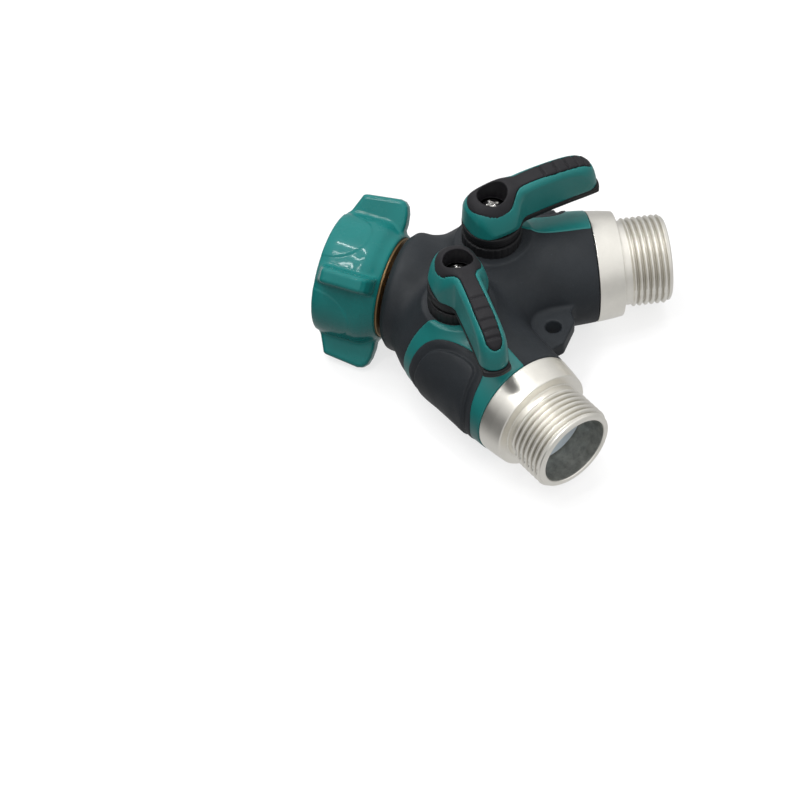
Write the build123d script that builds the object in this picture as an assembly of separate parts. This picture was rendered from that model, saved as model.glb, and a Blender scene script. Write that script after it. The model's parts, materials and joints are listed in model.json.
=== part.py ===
from build123d import *
import math
import os

# Hose splitter: a swivel inlet nut and two outlets, each with a lever-worked ball valve.
# Frame: origin at the centre of the inlet mouth, inlet axis along Y, outlets towards +Y, levers on top (+Z).
# Everything is drawn about the junction of the three water ways, then moved along +Y by `junction_y`.
# The right side (+X) is modelled and mirrored for the left.

# ---- driving dimensions, mm ----
junction_y = 21.0            # inlet mouth to the junction of the axes
half_angle = 30.0            # outlet axis to the Y axis, degrees
lever_splay = 20.0           # how far each lever stands outward of its outlet axis at rest, degrees

# hose thread: parallel pipe thread, 3/4 inch
thread_major_r = 13.22
thread_minor_r = 12.06
thread_pitch = 1.814
thread_crest = 0.42          # width of the flat crest of each turn

# outlets, distances along the outlet axis from the junction
collar_start = 56.8
collar_end = 64.65
thread_start = 66.7
mouth_end = 79.4
collar_r_back = 16.55
collar_r_front = 15.6
neck_r = 12.55
mouth_bore_r = 10.65
core_r = 13.9                # outside of the casting under the skin
cavity_start = 20.6          # floor of the ball cavity
waterway_r = 6.2

# ball valve
valve_t = 27.2               # ball centre along the outlet axis
ball_r = 9.0
ball_bore_r = 5.8
seat_gap = 0.1
seat_land_r = 8.0
sleeve_end = 70.0
boss_r = 8.7
boss_top = 17.4
gland_bore_r = 6.5
gland_bore_floor = 12.4
stem_r = 4.0
stem_hole_r = 4.08
stem_flange_r = 5.9
slot_width = 2.6
slot_floor = 6.5
stem_top = 28.0
stem_flat = 2.8              # half the distance over the two drive flats
gland_r = 8.9
gland_top = 21.4
gland_teeth = 28

# inlet side, distances along Y from the junction
nut_front = -21.0
nut_back = -1.6
thread_back = -13.3          # start of the last half turn of the inlet thread
core_outer_r = 15.0
washer_front = -12.8
flange_front = -10.0
shoulder_front = -7.7
tail_r = 9.4
tail_bore_r = 7.0
tail_flange_r = 11.6
tail_end = 9.5
body_front = -0.5
barrel_r = 14.8

# inlet nut grip
grip_r = 18.4
wing_half_width = 2.7
wing_count = 4

# soft skin and side panels
skin_r = 17.2
panel_inner_r = 15.6
pad_r = 17.9
ear_hole_y = 47.8
ear_hole_r = 2.35
ear_skin_half = 2.6
ear_metal_half = 1.6

# lever, heights above the splitter's mid plane
lever_bottom = 21.7
hub_step = 23.4              # the base is narrower below this
arm_bottom = 23.6
lever_split = 25.4           # black base below, green shell above
hub_r = 8.8
hub_neck_r = 8.2
hub_top = 35.3
arm_peak = 37.4
recess_r = 4.3
recess_floor = 30.0
arm_half_width = 4.0
arm_end = 34.4
inlay_hub_r = 6.6            # black inlay round the recess
inlay_half_width = 2.2
inlay_end = 32.4
screw_head_r = 3.0
screw_head_height = 1.8
screw_r = 1.45


# ---- helpers ----
def turned(outline):
    """Solid of revolution about Z from (radius, height) corners."""
    return revolve(Plane.XZ * make_face(Polyline(*outline, close=True)), Axis.Z)


def upright(radius, low, high):
    """Vertical cylinder about the origin between two heights."""
    return Pos(0, 0, low) * Cylinder(radius, high - low, align=(Align.CENTER, Align.CENTER, Align.MIN))


def thread_outline(start, end, crest_r, root_r):
    """Corners of ring-shaped thread turns between two heights, from crest radius to root radius."""
    turns = int((end - start) / thread_pitch)
    flank = (thread_pitch - thread_crest) / 2
    corners = []
    for turn in range(turns):
        low = start + turn * thread_pitch
        corners += [(crest_r, low), (crest_r, low + thread_crest), (root_r, low + thread_crest + flank)]
    last = start + turns * thread_pitch
    return corners + [(crest_r, last), (crest_r, last + thread_crest)]


sin_half = math.sin(math.radians(half_angle))
cos_half = math.cos(math.radians(half_angle))
outlet_dir = (sin_half, cos_half, 0)
outward_dir = (cos_half, -sin_half, 0)
inlet_plane = Plane(origin=(0, 0, 0), x_dir=(1, 0, 0), z_dir=(0, 1, 0))
outlet_plane = Plane(origin=(0, 0, 0), x_dir=outward_dir, z_dir=outlet_dir)
side_plane = Plane(origin=(0, 0, 0), x_dir=outlet_dir, z_dir=outward_dir)
valve_place = Pos(valve_t * sin_half, valve_t * cos_half, 0)
lever_place = valve_place * Rot(0, 0, 90 - half_angle - lever_splay)


def on_inlet(shape):
    """Local Z becomes the inlet axis (+Y)."""
    return inlet_plane * shape


def on_outlet(shape):
    """Local Z becomes the right outlet's axis."""
    return outlet_plane * shape


def largest_solid(shape):
    """The main solid of a shape, without the slivers that a cut can leave."""
    return max(shape.solids(), key=lambda solid: solid.volume)


def both(shape):
    """The right-hand shape fused with its mirror image."""
    return shape + mirror(shape, Plane.YZ)


# ---- casting ----
def outlet_casting():
    thread = thread_outline(thread_start + 0.05, mouth_end - 1.5, thread_major_r, thread_minor_r)
    outline = [
        (0, 6), (11.5, 6), (12.4, 12), (core_r, 20), (core_r, collar_start),
        (collar_r_back, collar_start), (collar_r_front, collar_end - 0.5), (collar_r_front - 0.5, collar_end),
        (neck_r, collar_end), (neck_r, thread_start), *thread,
        (neck_r + 0.1, mouth_end - 0.5), (neck_r - 0.4, mouth_end), (0, mouth_end),
    ]
    return on_outlet(turned(outline))


def outlet_bore():
    outline = [
        (0, 0), (waterway_r, 0), (waterway_r, cavity_start), (mouth_bore_r, cavity_start),
        (mouth_bore_r, mouth_end - 0.5), (mouth_bore_r + 0.5, mouth_end), (mouth_bore_r + 0.5, mouth_end + 1),
        (0, mouth_end + 1),
    ]
    return on_outlet(turned(outline))


def ear(half_thickness, inset):
    """Web between the branches, with a short lug standing forward in its middle."""
    back_y, front_y, web_y = 36.0, 52.8 - inset, 50.75 - inset
    side_x, root_x, lug_x = 11.5, 7.4 - inset / 2, 4.9 - inset / 2
    half = [(lug_x, front_y), (root_x, web_y), (side_x, web_y), (side_x, back_y)]
    other_half = [(-x, y) for x, y in reversed(half)]
    return extrude(make_face(Polyline(*half, *other_half, close=True)), half_thickness, both=True)


def ear_hole():
    return Pos(0, ear_hole_y, 0) * Cylinder(ear_hole_r, 20)


def valve_body():
    barrel = on_inlet(turned([(0, body_front), (barrel_r, body_front), (barrel_r, 8), (11, 16), (0, 16)]))
    boss = valve_place * upright(boss_r, 0, boss_top)
    body = barrel + both(outlet_casting()) + both(boss) + ear(ear_metal_half, 1.0)
    body -= both(outlet_bore())
    socket = [(0, -2), (tail_r, -2), (tail_r, tail_end), (waterway_r + 1, tail_end + 2), (0, 14)]
    body -= on_inlet(turned(socket))
    gland_bore = upright(gland_bore_r, gland_bore_floor, boss_top + 1)
    body -= both(valve_place * gland_bore)
    body -= both(valve_place * upright(stem_hole_r, 5, boss_top))
    return body - ear_hole()


# ---- soft skin, side panels and grip pads ----
def skin_envelope():
    """Outside of the overmoulded skin, without its cavities."""
    neck = on_inlet(turned([
        (0, -0.3), (16.2, -0.3), (17.1, 0.6), (17.7, 2), (17.7, 7), (16.5, 12), (12, 20), (0, 20),
    ]))
    branch = on_outlet(turned([
        (0, 6), (11.9, 6), (12.9, 9), (14.8, 14.5), (16.8, 21), (skin_r, 26), (skin_r, 40),
        (17.0, 48), (16.7, 53), (16.45, collar_start), (0, collar_start),
    ]))
    rim = valve_place * upright(boss_r + 0.8, 10, boss_top)
    return neck + both(branch) + both(rim) + ear(ear_skin_half, 0)


def panel_zone():
    """Region of the right side panel: everything outward of the branch's top and bottom lines."""
    top = 24.0
    nose = ThreePointArc((27.2, 15), (23.0, 0), (27.2, -15))
    rest = Polyline((27.2, -15), (31, -top), (collar_start, -top), (collar_start, top), (31, top), (27.2, 15))
    return extrude(side_plane.offset(-1.5) * make_face(nose + rest), 30)


def pad_zone():
    nose = ThreePointArc((31, 13), (26, 0), (31, -13))
    low = ThreePointArc((31, -13), (41, -16), (49, -15.2))
    front = ThreePointArc((49, -15.2), (53.4, 0), (49, 15.2))
    high = ThreePointArc((49, 15.2), (41, 16), (31, 13))
    return extrude(side_plane.offset(4.0) * make_face(nose + low + front + high), 30)


def side_shell(outer_r, outer_end_r):
    """Thin shell of the branch that the panel and the pad are cut from."""
    outline = [
        (panel_inner_r, 21), (outer_r - 0.3, 21), (outer_r, 27), (outer_r, 46), (outer_end_r, collar_start),
        (panel_inner_r, collar_start),
    ]
    return on_outlet(turned(outline))


def side_panel():
    clear_of_boss = valve_place * upright(boss_r + 0.8, -1, 30)
    return (side_shell(skin_r + 0.15, 16.5) & panel_zone()) - pad_zone() - clear_of_boss


def grip_pad():
    clear_of_boss = valve_place * upright(boss_r + 0.8, -1, 30)
    return (side_shell(pad_r, 17.1) & pad_zone()) - clear_of_boss


def body_grip_skin(body, panels_and_pads):
    skin = skin_envelope()
    cavities = both(outlet_bore()) + on_inlet(upright(barrel_r, -3, 8))
    skin -= cavities
    skin -= body
    skin -= both(valve_place * upright(gland_bore_r + 1, 0, boss_top + 1))
    for piece in panels_and_pads:
        skin -= piece
    skin -= ear_hole()
    return largest_solid(skin)


# ---- inlet: tailpiece, washer and swivel nut ----
def inlet_tailpiece():
    groove = (3.0, 5.2)
    outline = [
        (tail_bore_r, flange_front), (tail_flange_r, flange_front), (tail_flange_r, shoulder_front - 0.1),
        (tail_r, shoulder_front - 0.1), (tail_r, groove[0]), (tail_r - 1.3, groove[0]),
        (tail_r - 1.3, groove[1]), (tail_r, groove[1]), (tail_r, tail_end), (tail_bore_r, tail_end),
    ]
    return on_inlet(turned(outline))


def tailpiece_o_ring():
    return on_inlet(turned([(tail_r - 1.3, 3.2), (tail_r, 3.2), (tail_r, 5.0), (tail_r - 1.3, 5.0)]))


def inlet_washer():
    inner, outer = 6.8, 11.7
    outline = [(inner, washer_front), (outer, washer_front), (outer, flange_front), (inner, flange_front)]
    return on_inlet(turned(outline))


def swivel_core():
    thread = thread_outline(nut_front + 0.4, thread_back, thread_minor_r, thread_major_r)
    outline = [
        (core_outer_r, nut_front + 0.2), (thread_major_r - 0.6, nut_front + 0.2), *thread,
        (thread_major_r, thread[-1][1] + 0.7), (thread_major_r, shoulder_front),
        (tail_r + 0.1, shoulder_front), (tail_r + 0.1, nut_back), (core_outer_r, nut_back),
    ]
    return on_inlet(turned(outline))


def grip_wing():
    """One flat wing of the inlet nut, standing up along +Z, before the rear corner is rounded."""
    side = Plane(origin=(0, 0, 0), x_dir=(0, 1, 0), z_dir=(1, 0, 0))
    slope = Polyline((-20.6, core_outer_r), (-20.6, 17.6), (-17.6, 24.0), (-5.2, 25.6))
    back = ThreePointArc((-5.2, 25.6), (-3.4, 24.0), (-2.6, core_outer_r + 0.8))
    foot = Line((-2.6, core_outer_r + 0.8), (-20.6, core_outer_r))
    wing = extrude(side * make_face(slope + back + foot), wing_half_width, both=True)
    outer = wing.edges().filter_by(lambda edge: edge.center().Z > 18.5).filter_by(Axis.X, reverse=True)
    return fillet(outer, 1.1)


def swivel_grip():
    ring = on_inlet(turned([
        (core_outer_r, nut_front), (17.0, nut_front), (17.9, nut_front + 0.9), (grip_r, -18.0),
        (grip_r, -6.5), (17.4, -4.0), (15.6, -2.2), (core_outer_r, -2.2),
    ]))
    wing = grip_wing()
    for index in range(wing_count):
        ring += Rot(0, 45 + index * 360 / wing_count, 0) * wing
    return ring - on_inlet(upright(core_outer_r, nut_front - 1, nut_back + 1))


# ---- ball valve ----
def ball():
    shape = Sphere(ball_r) - upright(ball_bore_r, -12, 12)
    shape -= Pos(ball_r, 0, 0) * Box(2 * (ball_r - slot_floor), 2 * ball_r, slot_width)
    # The bore follows the lever, and the slot opens upward and runs across the bore.
    along_lever = Plane(origin=(0, 0, 0), x_dir=(0, 0, 1), z_dir=(1, 0, 0))
    return lever_place * (along_lever * shape)


def height_over_ball(radius):
    """Height of the seat's face above the ball centre at a radius from the bore's axis."""
    return math.sqrt((ball_r + seat_gap) ** 2 - radius ** 2)


def seat(side):
    """Ring that the ball turns against; side is -1 towards the junction, +1 towards the mouth."""
    inner, outer = waterway_r + 0.1, mouth_bore_r - 0.05
    middle = (inner + seat_land_r) / 2
    land, lip = height_over_ball(seat_land_r), height_over_ball(inner)
    back = valve_t - cavity_start
    corners = [(seat_land_r, land), (outer, land), (outer, back), (inner, back), (inner, lip)]
    face = ThreePointArc((inner, lip), (middle, height_over_ball(middle)), (seat_land_r, land))
    ring = revolve(Plane.XZ * make_face(Polyline(*corners) + face), Axis.Z)
    if side < 0:
        ring = mirror(ring, Plane.XY)
    return on_outlet(Pos(0, 0, valve_t) * ring)


def retainer_sleeve():
    back = 2 * valve_t - cavity_start
    outer = mouth_bore_r - 0.05
    outline = [(waterway_r, back), (outer, back), (outer, sleeve_end - 0.6), (outer - 0.6, sleeve_end),
               (waterway_r + 0.5, sleeve_end), (waterway_r, sleeve_end - 0.5)]
    return on_outlet(turned(outline))


def stem():
    o_ring_low, o_ring_high, groove_r = 17.2, 19.0, 2.9
    outline = [
        (0, 10.6), (stem_r, 10.6), (stem_r, gland_bore_floor + 0.05),
        (stem_flange_r, gland_bore_floor + 0.05), (stem_flange_r, 14.3), (stem_r, 14.3),
        (stem_r, o_ring_low), (groove_r, o_ring_low), (groove_r, o_ring_high), (stem_r, o_ring_high),
        (stem_r, stem_top), (0, stem_top),
    ]
    shape = turned(outline)
    shape += Pos(0, 0, (slot_floor + 0.2 + 10.6) / 2) * Box(slot_width - 0.1, 6.4, 10.6 - slot_floor - 0.2)
    flat_length = stem_top + 0.4 - lever_bottom
    for side in (-1, 1):
        shape -= Pos(0, side * (stem_flat + 3), lever_bottom + flat_length / 2) * Box(12, 6, flat_length)
    shape -= upright(screw_r + 0.05, 18.5, stem_top)
    return lever_place * shape


def stem_o_ring():
    return lever_place * turned([(2.9, 17.3), (stem_r, 17.3), (stem_r, 18.9), (2.9, 18.9)])


def gland_nut():
    plug_r = gland_bore_r - 0.02
    outline = [(stem_hole_r, 14.5), (plug_r, 14.5), (plug_r, boss_top), (gland_r, boss_top),
               (gland_r, gland_top - 0.5), (gland_r - 0.5, gland_top), (stem_hole_r, gland_top)]
    shape = turned(outline)
    notch = Pos(gland_r, 0, 0) * upright(0.45, boss_top + 0.6, gland_top + 1)
    notches = [Rot(0, 0, index * 360 / gland_teeth) * notch for index in range(gland_teeth)]
    return valve_place * (shape - notches)


# ---- lever, drawn along +X with the stem axis at the origin ----
def arm(half_width, drop, low):
    """Arm of the lever from the hub to the tip; `drop` lowers its top outline."""
    side = Plane(origin=(0, 0, 0), x_dir=(1, 0, 0), z_dir=(0, -1, 0))
    tip = arm_end - drop
    start, crest, bend = (0, 36.2 - drop), (13.5, arm_peak - drop), (26, 36.1 - drop)
    top = ThreePointArc(start, crest, bend)
    nose = ThreePointArc(bend, (tip - 2.4, 32.7 - drop / 2), (tip, low))
    foot = Polyline((tip, low), (0, low), start)
    return extrude(side * make_face(top + nose + foot), half_width, both=True)


def hub(radius, low, high):
    return turned([(0, low), (radius, low), (radius, high - 1.6), (radius - 1.6, high), (0, high)])


def underside(radius, half_width):
    """Black base: a stepped disc round the stem and the strip under the arm."""
    thickness = lever_split - arm_bottom
    strip = Pos(arm_end / 2, 0, arm_bottom + thickness / 2) * Box(arm_end, 2 * half_width, thickness)
    return upright(hub_neck_r, lever_bottom, hub_step) + upright(radius, hub_step, lever_split) + strip


def spine():
    """Inner rib and column of the black core, hidden in the shell."""
    rib_top = 32.5
    rib = Pos(15, 0, (lever_split + rib_top) / 2) * Box(20, 2.4, rib_top - lever_split)
    return upright(5.6, lever_split, 33.2) + rib


def inlay_zone():
    straight = inlay_end - inlay_half_width
    strip = Pos(straight / 2, 0, 35) * Box(straight, 2 * inlay_half_width, 20)
    end = Pos(straight, 0, 0) * upright(inlay_half_width, 25, 45)
    return upright(inlay_hub_r, 33.2, 45) + (strip + end)


def recess():
    return upright(recess_r, recess_floor, 50)


def lever_core():
    socket = upright(stem_r + 0.05, lever_bottom - 1, stem_top)
    for side in (-1, 1):
        socket -= Pos(0, side * (stem_flat + 3.03), 25) * Box(12, 6, 10)
    shape = underside(hub_r, arm_half_width - 0.2) + spine()
    shape -= socket
    shape -= upright(screw_r + 0.15, lever_bottom, 40)
    shape -= recess()
    return lever_place * shape


def lever_inlay():
    body = hub(hub_r, lever_split, hub_top + 0.6) + arm(arm_half_width, 0, lever_split)
    inner = hub(hub_r + 1, lever_split - 1, 33.2) + arm(arm_half_width + 1, 1.6, lever_split - 1)
    shape = (body - inner) & inlay_zone()
    return lever_place * (shape - recess())


def lever_shell():
    body = hub(hub_r, lever_split, hub_top) + arm(arm_half_width, 0, lever_split)
    return lever_place * (body - spine() - recess()) - lever_inlay()


def lever_screw():
    screw_end, top = 19.0, recess_floor + screw_head_height
    outline = [(0, screw_end), (screw_r, screw_end), (screw_r, recess_floor), (screw_head_r, recess_floor),
               (screw_head_r, top - 0.7), (2.2, top), (0, top)]
    shape = turned(outline)
    for turn in (0, 90):
        shape -= Rot(0, 0, turn) * Pos(0, 0, top) * Box(3.4, 0.7, 2.0)
    return lever_place * shape


# ---- write one file per node ----
def write(name, shape):
    moved = Pos(0, junction_y, 0) * shape
    export_step(moved, f"parts/{name}.step")


def write_pair(name, shape):
    write(f"right_{name}", shape)
    write(f"left_{name}", mirror(shape, Plane.YZ))


def main():
    os.makedirs("parts", exist_ok=True)
    body = valve_body()
    panel = side_panel()
    pad = grip_pad()
    mirrored = [mirror(panel, Plane.YZ), mirror(pad, Plane.YZ)]
    write("valve_body", body)
    write("body_grip_skin", body_grip_skin(body, [panel, pad, *mirrored]))
    write("inlet_tailpiece", inlet_tailpiece())
    write("tailpiece_o_ring", tailpiece_o_ring())
    write("inlet_washer", inlet_washer())
    write("swivel_core", swivel_core())
    write("swivel_grip", swivel_grip())
    write_pair("side_panel", panel)
    write_pair("grip_pad", pad)
    write_pair("ball", ball())
    write_pair("inner_seat", seat(-1))
    write_pair("outer_seat", seat(1))
    write_pair("retainer_sleeve", retainer_sleeve())
    write_pair("stem", stem())
    write_pair("stem_o_ring", stem_o_ring())
    write_pair("gland_nut", gland_nut())
    write_pair("lever_core", lever_core())
    write_pair("lever_shell", lever_shell())
    write_pair("lever_inlay", lever_inlay())
    write_pair("lever_screw", lever_screw())


main()
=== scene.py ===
import json
import math

import bpy
import numpy as np
from mathutils import Matrix, Quaternion, Vector


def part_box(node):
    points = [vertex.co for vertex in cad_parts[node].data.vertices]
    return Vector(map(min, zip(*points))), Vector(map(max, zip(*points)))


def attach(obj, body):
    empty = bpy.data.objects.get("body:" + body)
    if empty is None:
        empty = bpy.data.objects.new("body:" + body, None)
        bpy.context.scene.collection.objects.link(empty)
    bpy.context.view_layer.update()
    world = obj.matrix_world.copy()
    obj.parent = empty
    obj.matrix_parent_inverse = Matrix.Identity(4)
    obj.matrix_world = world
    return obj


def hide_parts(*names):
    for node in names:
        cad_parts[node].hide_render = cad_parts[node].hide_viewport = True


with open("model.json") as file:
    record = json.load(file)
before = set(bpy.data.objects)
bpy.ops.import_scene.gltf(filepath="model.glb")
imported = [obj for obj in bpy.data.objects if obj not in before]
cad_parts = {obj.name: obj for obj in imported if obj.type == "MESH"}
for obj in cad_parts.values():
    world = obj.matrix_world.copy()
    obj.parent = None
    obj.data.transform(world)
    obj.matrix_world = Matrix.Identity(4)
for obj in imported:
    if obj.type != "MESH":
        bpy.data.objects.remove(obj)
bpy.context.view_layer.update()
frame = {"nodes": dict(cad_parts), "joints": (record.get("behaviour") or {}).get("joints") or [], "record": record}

# Shapes are worked out in millimetres about the junction of the three water ways. Most of them are distance
# fields: negative inside, positive outside. Paired pieces are built on the right and mirrored for the left.
MM = 0.001


# ---- places read from the frame ----
def named(items, name):
    return next(item for item in items if item["name"] == name)


outlet_mount = named(frame["record"]["mounts"], "right_outlet_thread")
lever_joint = named(frame["joints"], "right_lever_turn")
outlet_axis = np.array(outlet_mount["axis"])
outward_axis = np.array([outlet_axis[1], -outlet_axis[0], 0.0])
outlet_point = np.array(outlet_mount["pos_m"]) / MM
junction_y = outlet_point[1] - outlet_point[0] * outlet_axis[1] / outlet_axis[0]
lever_x, lever_y = np.array(lever_joint["pos_m"][:2]) / MM - (0, junction_y)
lever_splay = math.radians(20)  # how far outward of its outlet each lever stands at rest
lever_turn = math.atan2(outlet_axis[1], outlet_axis[0]) - lever_splay
ear_hole_y = named(frame["record"]["mounts"], "ear_hole")["pos_m"][1] / MM - junction_y
ear_hole_r = named(frame["record"]["mounts"], "ear_hole")["dims"]["r_mm"]
thread_r = outlet_mount["dims"]["r_mm"]

# ---- sizes shared by several shapes, mm; the CAD model has the same or close to them ----
skin_r = 17.2
collar_start, collar_end = 56.8, 64.65
mouth_end = 79.4
bore_r = 10.65
core_r = 13.9
waterway_r = 6.2
cavity_start = 20.6
neck_r = 12.55
thread_root_r = 12.06
thread_pitch = 1.814
boss_top = 16.9
stem_hole_r = 4.1
gland_r, gland_foot, gland_top = 8.8, 16.4, 21.4
gland_neck_r, gland_hole_r = 6.45, 6.5
hub_r = 8.8
lever_bottom, lever_split = 21.7, 25.4
hub_step, hub_neck_r = 23.4, 8.2
arm_bottom = 23.4
recess_r, recess_floor = 4.35, 30.0
nut_front, nut_back = -21.0, -1.6
nut_core_r = 15.0
ear_half = 2.6


# ---- distance field helpers ----
def clamp01(value):
    return np.clip(value, 0.0, 1.0)


def smoothstep(low, high, value):
    share = clamp01((value - low) / (high - low))
    return share * share * (3 - 2 * share)


def smooth_union(a, b, width):
    """Union whose seam is spread over `width`."""
    blend = np.maximum(width - np.abs(a - b), 0) / width
    return np.minimum(a, b) - blend * blend * width / 4


def round_both(a, b, radius):
    """Inside of both, with the edge between them rounded."""
    inner = np.minimum(-radius, np.maximum(a, b))
    return inner + np.hypot(np.maximum(radius + a, 0), np.maximum(radius + b, 0))


def round_union(a, b, radius):
    """Inside of either, with the corner between them filled to a radius."""
    outer = np.maximum(radius, np.minimum(a, b))
    return outer - np.hypot(np.maximum(radius - a, 0), np.maximum(radius - b, 0))


def round_cut(a, b, radius):
    """a without b, with the cut's edge rounded."""
    return round_both(a, -b, radius)


def curve_through(knots):
    """Smooth single-valued curve through (x, y) knots."""
    x, y = np.array(knots, float).T
    slope = np.gradient(y, x)

    def value(at):
        at = np.clip(at, x[0], x[-1])
        i = np.clip(np.searchsorted(x, at) - 1, 0, len(x) - 2)
        span = x[i + 1] - x[i]
        s = (at - x[i]) / span
        rise = y[i] * (1 + 2 * s) * (1 - s) ** 2 + y[i + 1] * s * s * (3 - 2 * s)
        return rise + span * (slope[i] * s * (1 - s) ** 2 - slope[i + 1] * s * s * (1 - s))

    return value


def closed_curve(points, per_span):
    """Closed Catmull-Rom curve through points, as a dense polygon."""
    p = np.array(points, float)
    before, after, later = np.roll(p, 1, 0), np.roll(p, -1, 0), np.roll(p, -2, 0)
    s = (np.arange(per_span) / per_span)[None, :, None]
    a, b, c, d = (q[:, None, :] for q in (before, p, after, later))
    curve = b + 0.5 * s * (c - a + s * (2 * a - 5 * b + 4 * c - d + s * (3 * (b - c) + d - a)))
    return curve.reshape(-1, 2)


def polygon_distance(x, y, corners):
    """Signed distance to a closed polygon in its plane."""
    corners = np.array(corners, float)
    nearest = np.full(x.shape, np.inf)
    inside = np.zeros(x.shape, bool)
    for (ax, ay), (bx, by) in zip(corners, np.roll(corners, -1, 0)):
        ex, ey = bx - ax, by - ay
        px, py = x - ax, y - ay
        share = clamp01((px * ex + py * ey) / max(ex * ex + ey * ey, 1e-12))
        nearest = np.minimum(nearest, (px - share * ex) ** 2 + (py - share * ey) ** 2)
        crosses = (ay > y) != (by > y)
        if ey:
            inside ^= crosses & (px < ex * py / ey)
    return np.where(inside, -1, 1) * np.sqrt(nearest)


def outline_field(corners, pitch=0.2, margin=6.0):
    """polygon_distance kept on a fine grid, for outlines with many points."""
    corners = np.array(corners, float)
    low = corners.min(0) - margin
    count = np.ceil((corners.max(0) + margin - low) / pitch).astype(int)
    x, y = (low[i] + pitch * np.arange(count[i] + 1) for i in (0, 1))
    table = polygon_distance(*np.meshgrid(x, y, indexing="ij"), corners)

    def value(at_x, at_y):
        gx = np.clip((at_x - low[0]) / pitch, 0, count[0] - 1e-6)
        gy = np.clip((at_y - low[1]) / pitch, 0, count[1] - 1e-6)
        i, j = gx.astype(int), gy.astype(int)
        fx, fy = gx - i, gy - j
        near = table[i, j] * (1 - fx) + table[i + 1, j] * fx
        far = table[i, j + 1] * (1 - fx) + table[i + 1, j + 1] * fx
        return near * (1 - fy) + far * fy

    return value


# ---- from a distance field to a mesh ----
def sampled(field, low, high, step):
    """Field values on a grid; away from the surface they are only right in sign."""
    coarse_every = 4
    near_band = 6.5 * step
    count = np.ceil((np.array(high) - low) / (step * coarse_every)).astype(int)
    axes = [low[i] + step * coarse_every * np.arange(count[i] + 1) for i in range(3)]
    coarse = field(*np.meshgrid(*axes, indexing="ij"))
    nearest = [np.rint(np.arange(n * coarse_every + 1) / coarse_every).astype(int) for n in count]
    fine = coarse[np.ix_(*nearest)]
    near = np.argwhere(np.abs(fine) < near_band)
    fine[tuple(near.T)] = field(*(low + near * step).T)
    return fine


def surface_net(values, low, step):
    """Vertices and quads of the zero surface of a grid of values."""
    inside = values < 0
    corners = [(i, j, k) for i in (0, 1) for j in (0, 1) for k in (0, 1)]
    span = np.array(values.shape) - 1
    filled = sum(inside[i:span[0] + i, j:span[1] + j, k:span[2] + k].astype(np.int8) for i, j, k in corners)
    cells = np.argwhere((filled > 0) & (filled < 8))
    number = np.full(filled.shape, -1)
    number[tuple(cells.T)] = np.arange(len(cells))
    total, hits = np.zeros((len(cells), 3)), np.zeros(len(cells))
    quads = []
    for axis in range(3):
        unit = np.eye(3, dtype=int)[axis]
        side_a, side_b = np.eye(3, dtype=int)[[(axis + 1) % 3, (axis + 2) % 3]]
        for start in (0 * unit, side_a, side_b, side_a + side_b):
            first = values[tuple((cells + start).T)]
            second = values[tuple((cells + start + unit).T)]
            crossing = (first < 0) != (second < 0)
            share = first[crossing] / (first[crossing] - second[crossing])
            total[crossing] += start + share[:, None] * unit
            hits[crossing] += 1
        lower = np.delete(inside, -1, axis)
        changes = np.argwhere(lower != np.delete(inside, 0, axis))
        across = [side_a.argmax(), side_b.argmax()]
        changes = changes[((changes[:, across] > 0) & (changes[:, across] < span[across])).all(1)]
        around = [number[tuple((changes - back).T)] for back in (0 * unit, side_a, side_a + side_b, side_b)]
        ring = np.stack(around, 1)
        leaving = lower[tuple(changes.T)]
        quads.append(np.where(leaving[:, None], ring, ring[:, ::-1]))
    return low + step * (cells + total / hits[:, None]), np.concatenate(quads)


def relaxed(points, quads, share):
    """Points moved part of the way to the middle of their neighbours."""
    a = np.concatenate([quads[:, i] for i in range(4)] * 2)
    b = np.concatenate([quads[:, (i + turn) % 4] for turn in (1, -1) for i in range(4)])
    number = np.bincount(a, minlength=len(points))[:, None]
    total = np.stack([np.bincount(a, points[b, i], len(points)) for i in range(3)], 1)
    middle = total / np.maximum(number, 1)
    return points + share * (middle - points)


def onto_surface(field, points, step):
    """Points moved along the field's slope onto its zero surface."""
    reach = 0.04
    least_slope = 0.1
    longest_move = 0.7 * step
    value = field(*points.T)
    slope = np.stack([
        field(*(points + reach * unit).T) - field(*(points - reach * unit).T) for unit in np.eye(3)
    ], 1) / (2 * reach)
    move = value[:, None] * slope / np.maximum((slope ** 2).sum(1), least_slope)[:, None]
    return points - np.clip(move, -longest_move, longest_move)


def field_mesh(field, low, high, step):
    """Mesh of a field's zero surface in a box, evened out by less and less and put back on the surface."""
    low = np.array(low, float)
    points, quads = surface_net(sampled(field, low, high, step), low, step)
    for share in (0.5, 0.35, 0.2, 0.0):
        points = onto_surface(field, relaxed(points, quads, share), step)
    return points, quads


# ---- pieces ----
def to_row(points):
    """Junction millimetres to the row frame in metres."""
    return (points + (0, junction_y, 0)) * MM


def mirrored(points, faces):
    return points * (-1, 1, 1), faces[:, ::-1]


def add_piece(name, points, faces, material, body, slot, replaces):
    mesh = bpy.data.meshes.new(name)
    mesh.from_pydata(to_row(points).tolist(), [], faces.tolist())
    mesh.shade_smooth()
    mesh.materials.append(material)
    piece = bpy.data.objects.new(name, mesh)
    bpy.context.scene.collection.objects.link(piece)
    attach(piece, body)
    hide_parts(*replaces)
    return piece


def add_both(name, points, faces, material, slot, node, body=None):
    """The right-hand piece and its mirror image, each for one CAD node; on the valves if no body is given."""
    for side, shape in (("right", (points, faces)), ("left", mirrored(points, faces))):
        rides = body or f"{side}_valve"
        add_piece(f"{side}_{name}", *shape, material, rides, slot, [f"{side}_{node}"])


# ---- coordinates ----
def from_stem(x, y):
    """Distance from the nearer valve stem's axis."""
    return np.hypot(np.abs(x) - lever_x, y - lever_y)


def on_outlet(x, y):
    """Distance along the outlet axis and outward from it, on the side that x lies on."""
    side = np.abs(x)
    return side * outlet_axis[0] + y * outlet_axis[1], side * outward_axis[0] + y * outward_axis[1]


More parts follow.
